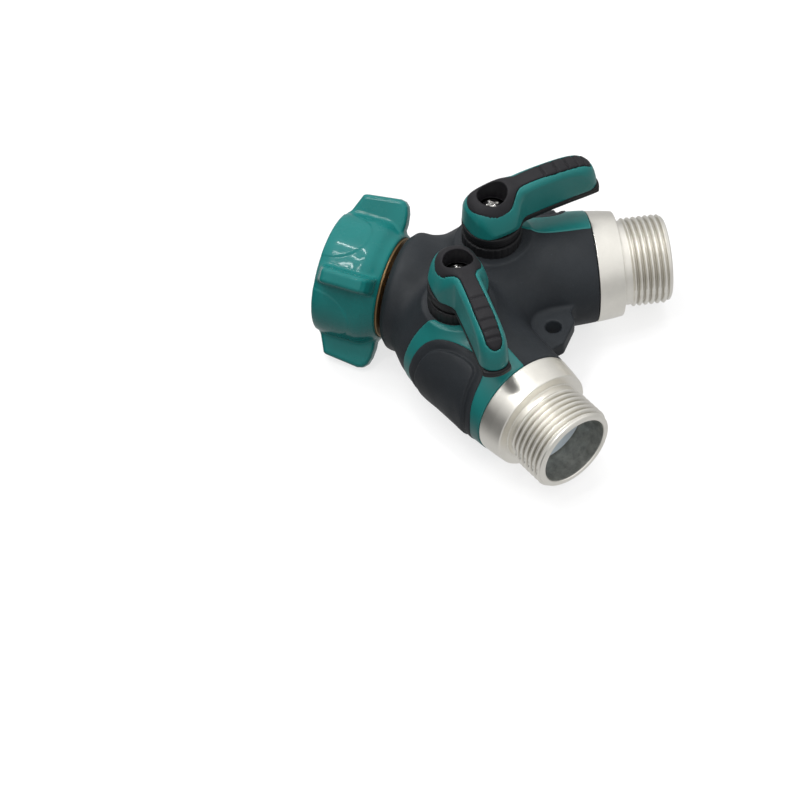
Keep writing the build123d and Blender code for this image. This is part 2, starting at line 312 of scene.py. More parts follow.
def on_right_outlet(x, y):
    return x * outlet_axis[0] + y * outlet_axis[1], x * outward_axis[0] + y * outward_axis[1]


def outlet_to_world(along, outward, z):
    return np.stack([
        along * outlet_axis[0] + outward * outward_axis[0],
        along * outlet_axis[1] + outward * outward_axis[1],
        z,
    ], -1)


def lever_to_world(points):
    """From a lever's own axes, along the arm and across it, to the right lever's place at rest."""
    c, s = math.cos(lever_turn), math.sin(lever_turn)
    u, v, z = points.T
    return np.stack([lever_x + c * u - s * v, lever_y + s * u + c * v, z], 1)


# ---- body: outside of the soft skin, which the panels and pads follow ----
neck_radius = curve_through([
    (-0.4, 15.9), (0.5, 16.7), (1.4, 17.6), (2.1, 17.85), (5, 17.7), (7, 17.25), (10, 16.1), (14, 14.2),
    (20, 11.5),
])
branch_radius = curve_through([
    (4, 10.4), (9, 12.1), (14.5, 14.2), (20, 16.3), (26, 17.2), (40, 17.2), (48, 17.0), (53, 16.75),
    (collar_start + 1, 16.4),
])


def branch_field(along, outward, z):
    return (np.hypot(outward, z) - branch_radius(along)) * 0.97


def body_field(x, y, z):
    """Outside of the body with the swells round its valve stems, without the ear and the cut ends."""
    left = branch_field(*on_right_outlet(-x, y), z)
    right = branch_field(*on_right_outlet(x, y), z)
    branches = smooth_union(left, right, 13.5)
    behind = round_both(branches, 3.0 - y, 4.0)
    neck = np.hypot(x, z) - neck_radius(y)
    neck = round_both(neck, y - 18, 3.0)
    swell = np.maximum(from_stem(x, y) - 9.8, np.maximum(z - 16.3, -z))
    return smooth_union(smooth_union(behind, neck, 3.0), swell, 6.0)


def ear_outline():
    """Web between the outlets with its lug, seen from above."""
    half = [(4.6, 52.8), (7.5, 50.7), (12.0, 50.7), (12.0, 36.0)]
    return half + [(-x, y) for x, y in reversed(half)]


def ear_field(x, y, z):
    return round_both(polygon_distance(x, y, ear_outline()), np.abs(z) - ear_half, 0.5)


def core_field(x, y, z):
    """Outside of the metal casting under the skin."""
    along, outward = on_outlet(x, y)
    tube_r = np.interp(along, [0, 6, 12, 20], [11.0, 11.5, 12.4, core_r])
    tube = np.maximum(np.hypot(outward, z) - tube_r, along - collar_start - 0.1)
    barrel = np.maximum(np.hypot(x, z) - 14.8, np.maximum(y - 9, -0.5 - y))
    boss = np.maximum(from_stem(x, y) - 7.6, np.maximum(z - boss_top, -z))
    return np.minimum(round_union(tube, barrel, 2.0), boss)


def skin_field(x, y, z):
    """The soft skin: the body and ear, cut off at the collars and the inlet, with the casting taken out."""
    along, _ = on_outlet(x, y)
    outside = round_union(body_field(x, y, z), ear_field(x, y, z), 0.9)
    outside = round_both(outside, -0.35 - y, 0.5)
    outside = round_both(outside, along - collar_start + 0.06, 0.35)
    taper = 0.9 * smoothstep(ear_half, -ear_half, z)
    hole = np.hypot(x, y - ear_hole_y) - ear_hole_r + taper
    outside = round_cut(outside, hole, 0.3)
    gland_hole = np.maximum(from_stem(x, y) - gland_hole_r - 0.1, -z)
    return np.maximum(outside, -np.minimum(core_field(x, y, z), gland_hole))


def add_skin():
    shape = field_mesh(skin_field, (-44.5, -1.6, -19.5), (44.5, 59.5, 19.5), 0.55)
    add_piece("body_grip_skin_soft", *shape, soft_black, "splitter_body", "soft_black", ["body_grip_skin"])


def casting_field(x, y, z):
    """The metal under the skin, with its water ways and valve seats hollowed out."""
    along, outward = on_outlet(x, y)
    rho = np.hypot(outward, z)
    way = np.maximum(rho - waterway_r, -along)
    cavity = np.maximum(rho - bore_r, cavity_start - along)
    inlet = np.maximum(np.hypot(x, z) - 9.4, y - 9.5)
    stem = np.maximum(from_stem(x, y) - stem_hole_r, 5 - z)
    gland = np.maximum(from_stem(x, y) - gland_hole_r, 12.4 - z)
    hollow = np.minimum.reduce([way, cavity, inlet, stem, gland])
    return np.maximum(core_field(x, y, z) + 0.03, -hollow)


def add_casting():
    shape = field_mesh(casting_field, (-45, -2, -16), (45, 60, 19), 0.7)
    add_piece("casting_core", *shape, satin_nickel, "splitter_body", "satin_nickel", ["valve_body"])


# ---- side panels and grip pads, outlined by side_coordinates ----
panel_upper = [
    (22.9, 0), (23.4, 5.1), (24.1, 11.1), (25.3, 15), (27.2, 18.0), (31, 21.8), (35, 24.6), (38.5, 26.4),
    (42.5, 27.3), (48, 27.5), (57, 27), (62, 27),
]
panel_lower = [
    (62, -27), (57, -27), (44, -27), (36, -26), (30.5, -22.5), (26.6, -17), (24.1, -10.5), (23.2, -5),
]
pad_upper = [
    (26.0, 0), (26.6, 4), (27.5, 8.4), (29.3, 12.5), (32.4, 15.7), (36.6, 18), (41.8, 19.4), (46.5, 19.4),
    (49.7, 17.7), (51.1, 14.9), (51.8, 11.0), (52.5, 6.5), (53.2, 2.5), (53.4, 0),
]
pad_outline = pad_upper + [(t, -s) for t, s in reversed(pad_upper[1:-1])]
panel_distance = outline_field(closed_curve(panel_upper + panel_lower, 8), margin=12)
pad_distance = outline_field(closed_curve(pad_outline, 8), margin=12)


def side_coordinates(x, y, z):
    """Along the outlet, and round it from its outward side, both in millimetres on the skin."""
    along, outward = on_right_outlet(x, y)
    return along, skin_r * np.arctan2(z, outward)


def layer(surface, height, depth, outline, edge):
    """Piece of the body's surface inside an outline, `height` proud of it and `depth` into it."""
    return np.maximum(round_both(surface - height, outline, edge), -surface - depth)


def panel_field(x, y, z):
    """Green side panel: ends at the gland nut, the collar and the pad."""
    along, around = side_coordinates(x, y, z)
    surface = body_field(x, y, z)
    outline = round_cut(panel_distance(along, around), from_stem(x, y) - gland_r - 0.15, 0.3)
    outline = round_both(outline, along - collar_start + 0.12, 0.3)
    outline = round_cut(outline, pad_distance(along, around) + 0.4, 0.3)
    return layer(surface, 0.22, 1.3, outline, 0.3)


def pad_height(inside, around):
    """How far the pad stands proud, by distance in from its edge; its upper and lower lips are thinner."""
    band = 0.45 - 0.4 * smoothstep(1.2, 2.8, inside)
    height = band + 0.78 * smoothstep(2.9, 3.5, inside) - 0.12 * smoothstep(4.2, 8.0, inside)
    return height * (1 - 0.6 * smoothstep(14.0, 19.0, np.abs(around)))


def pad_field(x, y, z):
    along, around = side_coordinates(x, y, z)
    outline = pad_distance(along, around)
    return layer(body_field(x, y, z), pad_height(-outline, around), 1.6, outline, 0.5)


def add_sides():
    low, high, step = (9, 5, -18.8), (47, 66, 18.8), 0.4
    panel = field_mesh(panel_field, low, high, step)
    add_both("side_panel_shell", *panel, satin_green, "green_plastic", "side_panel", "splitter_body")
    pad = field_mesh(pad_field, low, high, step)
    add_both("grip_pad_soft", *pad, soft_black, "soft_black", "grip_pad", "splitter_body")


# ---- turned pieces ----
def rounded_corners(corners, spacing):
    """Dense closed outline through (along, radius, corner radius) corners."""
    arc_steps = 6
    dense = []
    for i, (t, r, fillet) in enumerate(corners):
        here = np.array([t, r], float)
        back = np.array(corners[i - 1][:2], float) - here
        ahead = np.array(corners[(i + 1) % len(corners)][:2], float) - here
        back_length, ahead_length = np.linalg.norm(back), np.linalg.norm(ahead)
        back, ahead = back / back_length, ahead / ahead_length
        half = math.acos(np.clip(back @ ahead, -1, 1)) / 2
        cut = fillet / math.tan(half) if fillet else 0.0
        steps = arc_steps if fillet else 0
        for k in range(steps + 1):
            share = k / steps if steps else 0
            start, end = here + back * cut, here + ahead * cut
            dense.append((1 - share) ** 2 * start + 2 * share * (1 - share) * here + share ** 2 * end)
    filled = []
    for a, b in zip(dense, dense[1:] + dense[:1]):
        parts = max(1, math.ceil(np.linalg.norm(b - a) / spacing))
        filled += [a + (b - a) * k / parts for k in range(parts)]
    return np.array(filled)


def turned_mesh(outline, segments, radial):
    """Closed ring swept round an axis; `radial` changes the radius by angle and place along it."""
    angle = np.arange(segments) * 2 * math.pi / segments
    along = np.repeat(outline[:, :1], segments, 1)
    radius = np.repeat(outline[:, 1:], segments, 1)
    turn = np.repeat(angle[None, :], len(outline), 0)
    radius = radial(turn, along, radius)
    points = np.stack([along, radius * np.cos(turn), radius * np.sin(turn)], -1).reshape(-1, 3)
    row = np.arange(len(outline))[:, None] * segments
    next_row = np.roll(row, -1, 0)
    column = np.arange(segments)[None, :]
    next_column = np.roll(column, -1, 1)
    faces = np.stack([row + column, row + next_column, next_row + next_column, next_row + column], -1)
    return points, faces.reshape(-1, 4)


def thread_wave(turns):
    """Height of a rounded thread, 0 to 1, by turns along the axis."""
    return (0.5 + 0.5 * np.cos(2 * math.pi * turns)) ** 0.55


thread_start, thread_finish = 66.6, 77.9


def outlet_radius(angle, along, radius):
    """Outside thread with its run-out, and the flats where the two halves of the mould met."""
    outer = (radius > bore_r + 1.2) & (along > collar_end + 0.6)
    turns = (along - thread_start) / thread_pitch - angle / (2 * math.pi)
    run_in = smoothstep(-0.25, 0.35, turns)
    run_out = 1 - smoothstep(thread_finish, thread_finish + 0.8, along)
    height = (thread_r - thread_root_r) * thread_wave(turns - 0.3)
    base = radius - (neck_r - thread_root_r) * run_in * run_out
    threaded = base + height * run_in * run_out
    around = np.abs((angle + math.pi / 2) % math.pi - math.pi / 2) * thread_r
    flat = 1 - smoothstep(0.8, 2.0, around)
    flash = 0.12 * np.exp(-(around / 0.14) ** 2)
    flattened = np.minimum(threaded, thread_r - 0.38 * flat + flash)
    return np.where(outer, flattened, radius)


def outlet_outline():
    """Half section of one outlet from the collar to the mouth, before its thread is cut."""
    corners = [
        (collar_start, core_r, 0), (collar_start, 16.55, 0.3), (collar_start + 4, 16.15, 2.5),
        (collar_end, 15.6, 0.45), (collar_end + 0.1, neck_r, 0.5),
        (78.95, neck_r, 0.3), (mouth_end, 11.95, 0.3),
        (mouth_end, bore_r + 0.25, 0.25), (mouth_end - 0.5, bore_r, 0.2), (collar_start, bore_r, 0),
    ]
    return rounded_corners(corners, 0.13)


def add_outlets():
    points, faces = turned_mesh(outlet_outline(), 240, outlet_radius)
    along, across, up = points.T
    placed = outlet_to_world(along, across, up)
    in_bore = (np.hypot(across, up) < bore_r + 0.12) & (along < mouth_end - 0.2)
    for side, shape in (("right", (placed, faces)), ("left", mirrored(placed, faces))):
        name = f"{side}_outlet_thread"
        piece = add_piece(name, *shape, satin_nickel, "splitter_body", "satin_nickel", ["valve_body"])
        piece.data.materials.append(bore_metal)
        piece.data.polygons.foreach_set("material_index", in_bore[faces[:, 0]].astype(np.int32))


# ---- gland nuts ----
def add_glands():
    neck_end = 14.5
    teeth, tooth_depth = 28, 0.12
    outline = rounded_corners([
        (neck_end, stem_hole_r, 0), (neck_end, gland_neck_r, 0.3), (gland_foot, gland_neck_r, 0),
        (gland_foot, gland_r, 0), (gland_top, gland_r, 0.6), (gland_top, stem_hole_r, 0),
    ], 0.4)

    def serrated(angle, along, radius):
        outside = smoothstep(8.0, 8.6, radius)
        wave = smoothstep(0.25, 0.75, np.abs(np.sin(angle * teeth / 2)))
        return radius - tooth_depth * outside * (1 - wave)

    points, faces = turned_mesh(outline, teeth * 10, serrated)
    placed = np.stack([lever_x + points[:, 1], lever_y + points[:, 2], points[:, 0]], 1)
    add_both("gland_nut_ring", placed, faces, gland_black, "black_plastic", "gland_nut", "splitter_body")


# ---- swivel nut ----
ring_radius = curve_through([
    (-21.4, 17.3), (-20.9, 17.8), (-20.2, 18.1), (-19.0, 18.35), (-16, 18.5), (-11, 18.5), (-7.2, 18.4),
    (-6.2, 18.1), (-4.2, 16.9), (-2.2, 15.9),
])


wing_outline = [
    (-20.4, 14.0), (-20.4, 17.8), (-17.7, 24.1), (-16.9, 24.5), (-6.6, 25.65), (-5.0, 25.3), (-3.8, 24.1),
    (-3.1, 22.0), (-2.8, 19.0), (-3.2, 14.0),
]


def nut_field(x, y, z):
    """Grip of the nut: a ring with four wings, and a raised arch on the ring between each two of them."""
    rho, angle = np.hypot(x, z), np.arctan2(x, z)
    between = np.abs((angle + math.pi / 4) % (math.pi / 2) - math.pi / 4) * 18.4
    arch = 1 - np.hypot((y + 20.5) / 11.5, between / 9.3)
    ring = (rho - ring_radius(y) - 0.22 * smoothstep(-0.02, 0.03, arch)) * 0.95
    shape = round_both(ring, np.maximum(nut_front - 0.3 - y, y + 2.2), 0.6)
    for quarter in range(4):
        turn = math.pi / 4 + quarter * math.pi / 2
        up = x * math.sin(turn) + z * math.cos(turn)
        across = x * math.cos(turn) - z * math.sin(turn)
        half_width = 2.75 - 0.06 * (up - 17)
        wing = round_both(polygon_distance(y, up, wing_outline), np.abs(across) - half_width, 1.25)
        shape = round_union(shape, wing, 1.0)
    return np.maximum(shape, nut_core_r - rho)


def add_nut():
    reach = 21.5
    shape = field_mesh(nut_field, (-reach, nut_front - 1, -reach), (reach, -1.0, reach), 0.4)
    add_piece("swivel_grip_shell", *shape, gloss_green, "swivel_nut", "green_plastic", ["swivel_grip"])


def add_nut_core():
    inner_back, shoulder_r = -7.7, 9.5
    front = nut_front + 0.2
    thread_depth = 1.16
    outline = rounded_corners([
        (front, nut_core_r, 0.2), (nut_back, nut_core_r, 0.4), (nut_back, shoulder_r, 0.2),
        (inner_back, shoulder_r, 0.2), (inner_back, thread_r, 0.3), (front, thread_r - 0.1, 0.5),
    ], 0.16)

    def inside_thread(angle, along, radius):
        inner = (radius < thread_r + 0.2) & (radius > thread_r - 0.5) & (along < inner_back - 1)
        turns = (along - nut_front) / thread_pitch - angle / (2 * math.pi)
        ends = smoothstep(0.1, 0.7, turns) * (1 - smoothstep(-14.2, -13.2, along))
        return np.where(inner, radius - thread_depth * thread_wave(turns) * ends, radius)

    points, faces = turned_mesh(outline, 180, inside_thread)
    placed = np.stack([points[:, 2], points[:, 0], points[:, 1]], 1)
    add_piece("swivel_core_thread", placed, faces, nut_brass, "swivel_nut", "nut_brass", ["swivel_core"])


# ---- levers, drawn along u with v across and the stem axis at the origin ----
lever_profile = outline_field([
    (-10, 18), (-10, 33.2), (-8.8, 33.9), (-6.6, 34.9), (-4.4, 35.5), (-2.2, 35.85), (0, 36.15), (2.2, 36.45),
    (4.4, 36.75), (6.7, 37.0), (9, 37.2), (11.5, 37.35), (14, 37.4), (17, 37.35), (20, 37.15), (22.5, 36.9),
    (25, 36.55), (27.5, 36.0), (29.6, 35.25), (31.1, 34.3), (32.2, 33.1), (33.0, 31.7), (33.6, 30.0),
    (34.0, 28.2), (34.3, 26), (34.4, 18),
], 0.15)
arm_half_width = curve_through([(-2, 4.1), (8, 4.1), (18, 3.95), (26, 4.1), (31, 4.25), (35, 4.2)])
inlay_half_width = curve_through([(0, 2.2), (14, 2.3), (22, 2.5), (30, 2.3), (34, 2.2)])
deep_inside = -9.0  # distance given where a limit does not apply


def lever_plan(u, v, z):
    """Outline of hub and arm seen from above, apart; the hub leans inward as it rises."""
    lean = 0.055 * np.clip(z - lever_split, 0, 9)
    return np.hypot(u, v) - hub_r + lean, np.maximum(np.abs(v) - arm_half_width(u) + 0.3 * lean, -u)


def lever_outside(u, v, z):
    """Finished outside of a lever above its base: a domed hub and an arm with rounded edges."""
    hub, arm = lever_plan(u, v, z)
    side = lever_profile(u + v * v / 14, z)
    dome = round_both(hub, side + 0.03 * v * v + 0.0012 * v ** 4, 3.4)
    return round_union(dome, round_both(arm, side + 0.035 * v * v, 2.1), 1.8)


def inlay_plan(u, v):
    """Outline of the black inlay seen from above: a ring round the screw and a strip to near the tip."""
    tip_start = 30.25
    half_width = inlay_half_width(u)
    strip = np.maximum(np.abs(v) - half_width, -u)
    tip = np.hypot(np.maximum(u - tip_start, 0), v) - half_width
    strip = np.maximum(strip, np.where(u > tip_start, tip, deep_inside))
    ring = np.hypot(np.where(u < 0, 0.87 * u, u), v) - 6.6
    return round_union(ring, strip, 2.6)


def recess_field(u, v, z):
    return np.maximum(np.hypot(u, v) - recess_r, recess_floor - z)


def shell_field(u, v, z):
    """Green shell with the inlay's pocket; round the front of the hub it reaches under the inlay's edge."""
    outside = round_both(lever_outside(u, v, z), lever_split + 0.12 - z, 0.25)
    reach_under = 0.3 - 0.4 * smoothstep(0.5, 4.0, u)
    pocket = np.maximum(inlay_plan(u, v) + reach_under, -lever_outside(u, v, z) - 1.6)
    well = np.maximum(np.hypot(u, v) - 5.7, 24.0 - z)
    return round_cut(np.maximum(outside, -well), pocket, 0.2)


def inlay_field(u, v, z):
    """Black inlay, just proud of the shell, with five cross grooves and the wall of the screw's recess."""
    outside = lever_outside(u, v, z)
    grooves = sum(np.exp(-((u - place) / 0.36) ** 2) for place in (16.4, 20.6, 24.4, 27.6, 30.0))
    top = round_both(outside - 0.12 + 0.5 * grooves, inlay_plan(u, v), 0.35)
    top = np.maximum(top, -outside - 1.5)
    tube = np.maximum(np.hypot(u, v) - 5.6, np.maximum(outside + 0.4, 27.0 - z))
    return round_cut(np.minimum(top, tube), recess_field(u, v, z), 0.35)


def core_base_field(u, v, z):
    """Black base under the shell, and the column that carries the screw's recess."""
    tip_start, tip_r = 28.0, 6.9
    rho = np.hypot(u, v)
    hub, arm = lever_plan(u, v, z)
    disc = round_both(hub, np.maximum(hub_step - z, z - lever_split), 0.35)
    neck = round_both(rho - hub_neck_r, np.maximum(lever_bottom - z, z - hub_step - 0.5), 0.35)
    tip = np.hypot(np.maximum(u - tip_start, 0), v) - tip_r
    strip = np.maximum(arm + 0.05, np.where(u > tip_start, tip, deep_inside))
    strip = round_both(strip, np.maximum(arm_bottom - z, z - lever_split), 0.4)
    base = np.minimum(round_union(disc, strip, 1.2), neck)
    column = np.maximum(rho - 5.5, np.maximum(lever_split - 1 - z, z - recess_floor))
    stem_socket = np.maximum(rho - 4.0, z - 28.0)
    return np.maximum(np.minimum(base, column), -stem_socket)


def screw_field(u, v, z):
    """Pan-head screw with a cross recess."""
    rho = np.hypot(u, v)
    dome = np.sqrt(rho ** 2 + (z - recess_floor + 2.6) ** 2) - 4.4
    head = round_both(np.maximum(rho - 3.0, recess_floor - z), dome, 0.25)
    along, across = np.abs(u), np.abs(v)
    slots = np.minimum(np.maximum(along - 0.42, across - 1.9), np.maximum(across - 0.42, along - 1.9))
    centre = np.maximum(along + across - 1.0, recess_floor + 0.4 - z)
    cross = np.minimum(np.maximum(slots, recess_floor + 0.8 - z), centre)
    shank = np.maximum(rho - 1.45, np.maximum(19 - z, z - recess_floor - 0.3))
    return np.minimum(round_cut(head, cross, 0.12), shank)


def add_levers():
    space_top = 38.6
    whole, screw = (9.8, 36.2), (3.6, 3.6)  # half width and far end of the space a piece lies in
    pieces = [
        ("lever_shell_green", shell_field, 0.3, whole, lever_split - 0.5, satin_green, "green_plastic"),
        ("lever_inlay_black", inlay_field, 0.25, whole, 26.0, satin_black, "black_plastic"),
        ("lever_core_base", core_base_field, 0.3, whole, lever_bottom - 0.8, gland_black, "black_plastic"),
        ("lever_screw_head", screw_field, 0.14, screw, 18.5, screw_steel, "screw_steel"),
    ]
    for name, field, step, (half_width, far), bottom, material, slot in pieces:
        low, high = (-half_width, -half_width, bottom), (far, half_width, space_top)
        points, quads = field_mesh(field, low, high, step)
        node = name.rsplit("_", 1)[0]
        add_both(name, lever_to_world(points), quads, material, slot, node)


# ---- materials ----
class Nodes:
    """Short helper to build one material's node tree."""

    def __init__(self, name):
        self.material = bpy.data.materials.new(name)
        self.material.use_nodes = True
        self.tree = self.material.node_tree
        self.shader = self.tree.nodes["Principled BSDF"]

    def add(self, kind, **values):
        node = self.tree.nodes.new(kind)
        for key, value in values.items():
            if key in node.inputs:
                node.inputs[key].default_value = value
            else:
                setattr(node, key, value)
        return node

    def link(self, source, target):
        self.tree.links.new(source, target)

    def place(self):
        return self.add("ShaderNodeTexCoord").outputs["Object"]

    def noise(self, scale, detail, roughness=0.55):
        node = self.add("ShaderNodeTexNoise", Scale=scale, Detail=detail, Roughness=roughness)
        self.link(self.place(), node.inputs["Vector"])
        return node.outputs["Fac"]

    def spread(self, source, low, high, from_low=0.3, from_high=0.7):
        """Map from_low..from_high, the usual range of a noise, to low..high."""
        node = self.add("ShaderNodeMapRange")
        node.inputs["From Min"].default_value = from_low
        node.inputs["From Max"].default_value = from_high
        node.inputs["To Min"].default_value = low
        node.inputs["To Max"].default_value = high
        self.link(source, node.inputs["Value"])
        return node.outputs["Result"]

    def ramp(self, source, stops):
        node = self.add("ShaderNodeValToRGB")
        ramp = node.color_ramp
        while len(ramp.elements) < len(stops):
            ramp.elements.new(0.5)
        for element, (position, colour) in zip(ramp.elements, stops):
            element.position = position
            element.color = (*colour, 1)
        self.link(source, node.inputs["Fac"])
        return node.outputs["Color"]

    def bump(self, source, distance, after=None):
        node = self.add("ShaderNodeBump", Strength=1.0, Distance=distance)
        self.link(source, node.inputs["Height"])
        if after is not None:
            self.link(after, node.inputs["Normal"])
        return node.outputs["Normal"]

    def set(self, **values):
        for key, value in values.items():
            self.shader.inputs[key.replace("_", " ")].default_value = value


def shade(colour, factor):
    return tuple(channel * factor for channel in colour)


def plastic(name, colour, roughness, grain, bump_height, coat=0.0, specular=0.4):
    """Moulded plastic: faint colour drift, uneven gloss and a fine surface."""
    m = Nodes(name)
    drift = m.ramp(m.noise(60, 5), [(0.3, shade(colour, 0.9)), (0.7, shade(colour, 1.1))])
    m.link(drift, m.shader.inputs["Base Color"])
    m.link(m.spread(m.noise(210, 4), roughness * 0.85, roughness * 1.18), m.shader.inputs["Roughness"])
    m.link(m.bump(m.noise(grain, 3), bump_height), m.shader.inputs["Normal"])
    m.set(Coat_Weight=coat, Coat_Roughness=0.08, Specular_IOR_Level=specular)
    return m.material


def rubber(name, colour):
    """Soft overmoulded rubber: fine even grain with a few pale specks of dust."""
    m = Nodes(name)
    base = m.ramp(m.noise(90, 6), [(0.3, shade(colour, 0.85)), (0.7, shade(colour, 1.15))])
    specks = m.add("ShaderNodeTexVoronoi", Scale=420.0, Randomness=1.0)
    m.link(m.place(), specks.inputs["Vector"])
    share = m.spread(specks.outputs["Distance"], 0.5, 0.0, 0.02, 0.07)
    mix = m.add("ShaderNodeMix", data_type="RGBA")
    m.link(share, mix.inputs["Factor"])
    m.link(base, mix.inputs["A"])
    mix.inputs["B"].default_value = (*shade(colour, 3.5), 1)
    m.link(mix.outputs["Result"], m.shader.inputs["Base Color"])
    m.link(m.spread(m.noise(160, 5), 0.52, 0.68), m.shader.inputs["Roughness"])
    coarse = m.bump(m.noise(900, 3), 0.00004)
    m.link(m.bump(m.noise(3600, 2), 0.00003, after=coarse), m.shader.inputs["Normal"])
    m.set(Specular_IOR_Level=0.35)
    return m.material


def plated(name, colour, low, high, grime=0.0):
    """Metal with cloudy gloss between two roughnesses, a fine grain, and painted shade darkening its grooves."""
    cloud = 60.0
    groove_width = 0.0011
    m = Nodes(name)
    m.set(Metallic=1.0)
    tint = m.ramp(m.noise(cloud, 12, 0.72), [(0.3, shade(colour, 0.9)), (0.7, shade(colour, 1.05))])
    if grime:
        # Painted shade: ambient occlusion darkens the base colour in the thread roots and other narrow grooves.
        open_share = m.add("ShaderNodeAmbientOcclusion", Distance=groove_width, samples=4)
        groove_shade_tint = shade((1, 0.98, 0.93), 1 - grime)
        darker = m.ramp(open_share.outputs["AO"], [(0.35, groove_shade_tint), (0.85, (1, 1, 1))])
        mix = m.add("ShaderNodeMix", data_type="RGBA", blend_type="MULTIPLY")
        mix.inputs["Factor"].default_value = 1.0
        m.link(tint, mix.inputs["A"])
        m.link(darker, mix.inputs["B"])
        tint = mix.outputs["Result"]
    m.link(tint, m.shader.inputs["Base Color"])
    m.link(m.spread(m.noise(cloud * 2.2, 5), low, high), m.shader.inputs["Roughness"])
    m.link(m.bump(m.noise(1800, 4, 0.65), 0.00001), m.shader.inputs["Normal"])
    return m.material


def cast_bore():
    """Unpolished cast wall of the outlet bores, mottled."""
    m = Nodes("cast_bore")
    m.set(Metallic=0.75)
    stops = [(0.25, (0.2, 0.205, 0.19)), (0.5, (0.34, 0.345, 0.32)), (0.8, (0.55, 0.55, 0.51))]
    m.link(m.ramp(m.noise(420, 8, 0.7), stops), m.shader.inputs["Base Color"])
    m.link(m.spread(m.noise(500, 5), 0.42, 0.7), m.shader.inputs["Roughness"])
    m.link(m.bump(m.noise(700, 6, 0.7), 0.00008), m.shader.inputs["Normal"])
    return m.material


TEAL = (0.008, 0.145, 0.138)
gloss_green = plastic("gloss_green", TEAL, 0.26, 900, 0.000004, coat=0.3, specular=0.1)
satin_green = plastic("satin_green", TEAL, 0.36, 1500, 0.00001)
satin_black = plastic("satin_black", (0.012, 0.0115, 0.0135), 0.58, 1500, 0.00002, specular=0.25)
gland_black = plastic("gland_black", (0.006, 0.006, 0.007), 0.5, 1500, 0.00002, specular=0.3)
soft_black = rubber("soft_black", (0.0125, 0.0155, 0.019))
satin_nickel = plated("satin_nickel", (0.9, 0.875, 0.81), 0.31, 0.41, grime=0.42)
bore_metal = cast_bore()
# Painted shade: the nut's brass core is far darker than the stem's brass, standing in for the shadow in the gap
# between the nut and the body.
nut_brass = plated("nut_brass", (0.24, 0.155, 0.075), 0.3, 0.5)
stem_brass = plated("stem_brass", (0.72, 0.52, 0.2), 0.25, 0.4)
screw_steel = plated("screw_steel", (0.85, 0.84, 0.82), 0.12, 0.25)
ball_chrome = plated("ball_chrome", (0.8, 0.8, 0.8), 0.06, 0.14)
seat_white = plastic("seat_white", (0.72, 0.74, 0.74), 0.4, 1200, 0.00001)
sleeve_blue = plastic("sleeve_blue", (0.62, 0.70, 0.76), 0.32, 1200, 0.00001)
seal_rubber = rubber("seal_rubber", (0.02, 0.02, 0.021))

add_skin()
add_casting()
add_sides()
add_outlets()
add_glands()
add_nut()
add_nut_core()
add_levers()

# The pieces inside keep their CAD meshes and only get a material.
carried_over = {
    "inlet_tailpiece": stem_brass, "tailpiece_o_ring": seal_rubber, "inlet_washer": seal_rubber,
    "ball": ball_chrome, "inner_seat": seat_white, "outer_seat": seat_white, "retainer_sleeve": sleeve_blue,
    "stem": stem_brass, "stem_o_ring": seal_rubber,
}
for node, cad_object in frame["nodes"].items():
    material = carried_over.get(node.replace("left_", "").replace("right_", ""))
    if material:
        cad_object.data.materials.clear()
        cad_object.data.materials.append(material)


# ---- floor, light and camera ----
def add_floor():
    """Pale floor that the nut's wings and both collars touch."""
    nut_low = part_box("swivel_grip")[0]
    collar_foot = -16.5 * MM
    collar_y = junction_y * MM + collar_start * outlet_axis[1] * MM
    slope = (collar_foot - nut_low.z) / (collar_y - nut_low.y)
    half = 3.0
    square = ((-half, -half), (half, -half), (half, half), (-half, half))
    corners = [(x, y, nut_low.z + slope * (y - nut_low.y)) for x, y in square]
    mesh = bpy.data.meshes.new("floor")
    mesh.from_pydata(corners, [], [(0, 1, 2, 3)])
    floor = bpy.data.objects.new("floor", mesh)
    bpy.context.scene.collection.objects.link(floor)
    m = Nodes("floor_paper")
    paper = m.ramp(m.noise(3, 2), [(0.0, (0.28, 0.28, 0.28)), (1.0, (0.3, 0.3, 0.3))])
    m.link(paper, m.shader.inputs["Base Color"])
    m.set(Roughness=0.9, Specular_IOR_Level=0.0, Emission_Color=(1, 1, 1, 1), Emission_Strength=0.7)
    # Seen from below the floor is clear, so that the object's underside shows.
    from_below = m.add("ShaderNodeMixShader")
    m.link(m.add("ShaderNodeNewGeometry").outputs["Backfacing"], from_below.inputs["Fac"])
    m.link(m.shader.outputs["BSDF"], from_below.inputs[1])
    m.link(m.add("ShaderNodeBsdfTransparent").outputs["BSDF"], from_below.inputs[2])
    m.link(from_below.outputs["Shader"], m.tree.nodes["Material Output"].inputs["Surface"])
    mesh.materials.append(m.material)
    # The pale floor is only seen: the studio below the horizon lights the object's underside instead.
    floor.visible_diffuse = floor.visible_glossy = floor.visible_shadow = False


def add_area_light(name, place, target, size, power, roll=0, mirrored=False):
    light = bpy.data.lights.new(name, "AREA")
    light.shape = "RECTANGLE"
    light.size, light.size_y = size
    light.energy = power
    holder = bpy.data.objects.new(name, light)
    holder.visible_glossy = mirrored
    holder.location = place
    facing = (Vector(target) - Vector(place)).to_track_quat("-Z", "Y")
    holder.rotation_euler = (facing @ Quaternion((0, 0, 1), math.radians(roll))).to_euler()
    bpy.context.scene.collection.objects.link(holder)


# Grey of the studio by height, from straight below to straight above: as metal mirrors it, and as it lights.
MIRRORED = ((-1.0, 0.6), (-0.5, 0.6), (-0.15, 0.5), (0.1, 0.5), (0.35, 0.75), (0.7, 0.95), (1.0, 1.0))
LIGHTING = ((-1.0, 0.14), (-0.4, 0.12), (-0.12, 0.08), (0.08, 0.1), (0.35, 0.45), (0.7, 1.0), (1.0, 1.2))
DARK_CORNER = (0.45, -0.87, -0.1)  # direction of the unlit corner, low behind the inlet
BACKDROP = 0.93
CAMERA_SIDE = (0.593, 0.252, 0.764)  # direction from the object to the camera


